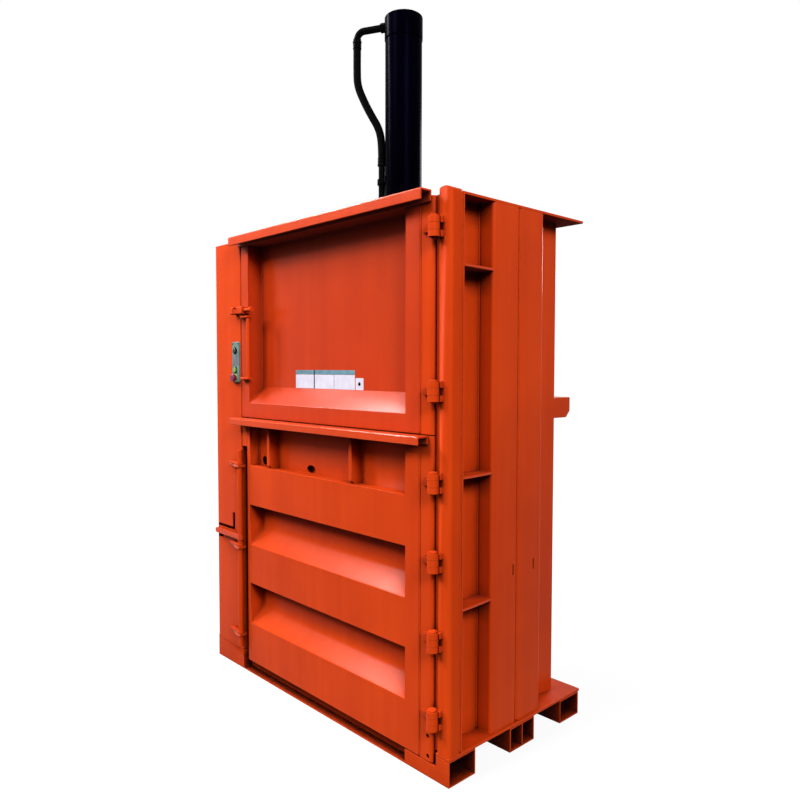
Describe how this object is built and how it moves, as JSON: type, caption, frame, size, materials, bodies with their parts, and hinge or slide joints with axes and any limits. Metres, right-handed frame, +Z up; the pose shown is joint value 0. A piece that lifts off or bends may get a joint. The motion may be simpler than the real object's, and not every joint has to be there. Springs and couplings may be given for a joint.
{
  "type": "recycling baler",
  "caption": "Vertical downstroke baler of welded plate with a feed door, a bale door, a latch shaft, a hydraulic cylinder and ram, on skids with fork pockets.",
  "frame": {"origin": "on the floor, at the centre of the base plate, on the underside of the middle skid", "axes": "+Z up along the ram, +X to the right seen from the doors, +Y to the back; the doors face -Y"},
  "size_m": [1.7, 0.95, 3.181],
  "materials": {
    "baler_paint": "glossy red-orange enamel over welded plate",
    "cylinder_paint": "gloss black enamel with a blue cast",
    "black_steel": "black painted steel pipe and fittings",
    "hose_rubber": "matt black rubber cover",
    "bright_steel": "ground and plated steel",
    "zinc_steel": "zinc plated",
    "station_grey": "grey-green moulded plastic",
    "button_black": "black moulded plastic",
    "button_green": "green moulded plastic",
    "button_red": "dark red moulded plastic",
    "motor_grey": "grey machine enamel",
    "cabinet_grey": "pale grey powder coat",
    "nylon": "natural cast nylon"
  },
  "bodies": {
    "frame": {"base_plate": "baler_paint", "front_skid": "baler_paint", "middle_skid": "baler_paint", "rear_skid": "baler_paint", "right_wall": "baler_paint", "left_wall": "baler_paint", "rear_wall": "baler_paint", "hinge_post": "baler_paint", "latch_post": "baler_paint", "right_column_front": "baler_paint", "right_column_rear": "baler_paint", "shelf_plates": "baler_paint", "top_plate": "baler_paint", "rear_beam": "baler_paint", "rear_columns": "baler_paint", "side_cover": "baler_paint", "post_knuckles": "baler_paint", "hinge_pins": "baler_paint", "latch_brackets": "baler_paint", "bolt_keeper": "baler_paint", "station_body": "station_grey", "cylinder_flange": "cylinder_paint", "flange_bolts": "zinc_steel", "cylinder_barrel": "cylinder_paint", "cylinder_head": "cylinder_paint", "port_elbow": "black_steel", "hose_ferrules": "black_steel", "hose": "hose_rubber", "pressure_pipe": "black_steel", "return_pipe": "black_steel", "pipe_clamps": "black_steel", "oil_tank": "motor_grey", "filler_cap": "button_black", "pump_bell": "motor_grey", "pump_motor": "motor_grey", "motor_cowl": "motor_grey", "valve_block": "zinc_steel", "switch_box": "cabinet_grey"},
    "upper_door": {"upper_door_panel": "baler_paint", "upper_hinge_stile": "baler_paint", "upper_door_lip": "baler_paint", "upper_knuckles": "baler_paint", "door_grip": "baler_paint", "bolt_housing": "baler_paint"},
    "bolt": {"slide_bolt": "baler_paint"},
    "lower_door": {"lower_door_panel": "baler_paint", "lower_door_ear": "baler_paint", "lower_hinge_stile": "baler_paint", "lower_door_lip": "baler_paint", "lower_knuckles": "baler_paint", "pocket_plates": "baler_paint"},
    "latch": {"latch_shaft": "baler_paint", "latch_lever": "baler_paint"},
    "platen": {"platen": "baler_paint", "piston_rod": "bright_steel", "platen_shoes": "nylon"},
    "up_button": {"up_button": "button_black"},
    "down_button": {"down_button": "button_green"},
    "stop_button": {"stop_button": "button_red"}
  },
  "joints": [
    {"name": "upper_door_hinge", "type": "hinge", "parent": "frame", "child": "upper_door", "pos_m": [0.788, -0.455, 1.76], "axis": [0, 0, 1], "range_deg": [0, 120]},
    {"name": "lower_door_hinge", "type": "hinge", "parent": "frame", "child": "lower_door", "pos_m": [0.788, -0.455, 0.69], "axis": [0, 0, 1], "range_deg": [0, 120]},
    {"name": "bolt_slide", "type": "slide", "parent": "upper_door", "child": "bolt", "axis": [-1, 0, 0], "range_m": [0, 0.05]},
    {"name": "latch_turn", "type": "hinge", "parent": "frame", "child": "latch", "pos_m": [-0.582, -0.451, 0.64], "axis": [0, 0, 1], "range_deg": [0, 180]},
    {"name": "platen_drop", "type": "slide", "parent": "frame", "child": "platen", "axis": [0, 0, -1], "range_m": [0, 0.86]},
    {"name": "up_press", "type": "slide", "parent": "frame", "child": "up_button", "axis": [0, 1, 0], "range_m": [0, 0.006], "stiffness_N_per_m": 800},
    {"name": "down_press", "type": "slide", "parent": "frame", "child": "down_button", "axis": [0, 1, 0], "range_m": [0, 0.006], "stiffness_N_per_m": 800},
    {"name": "stop_press", "type": "slide", "parent": "frame", "child": "stop_button", "axis": [0, 1, 0], "range_m": [0, 0.006], "stiffness_N_per_m": 800}
  ]
}
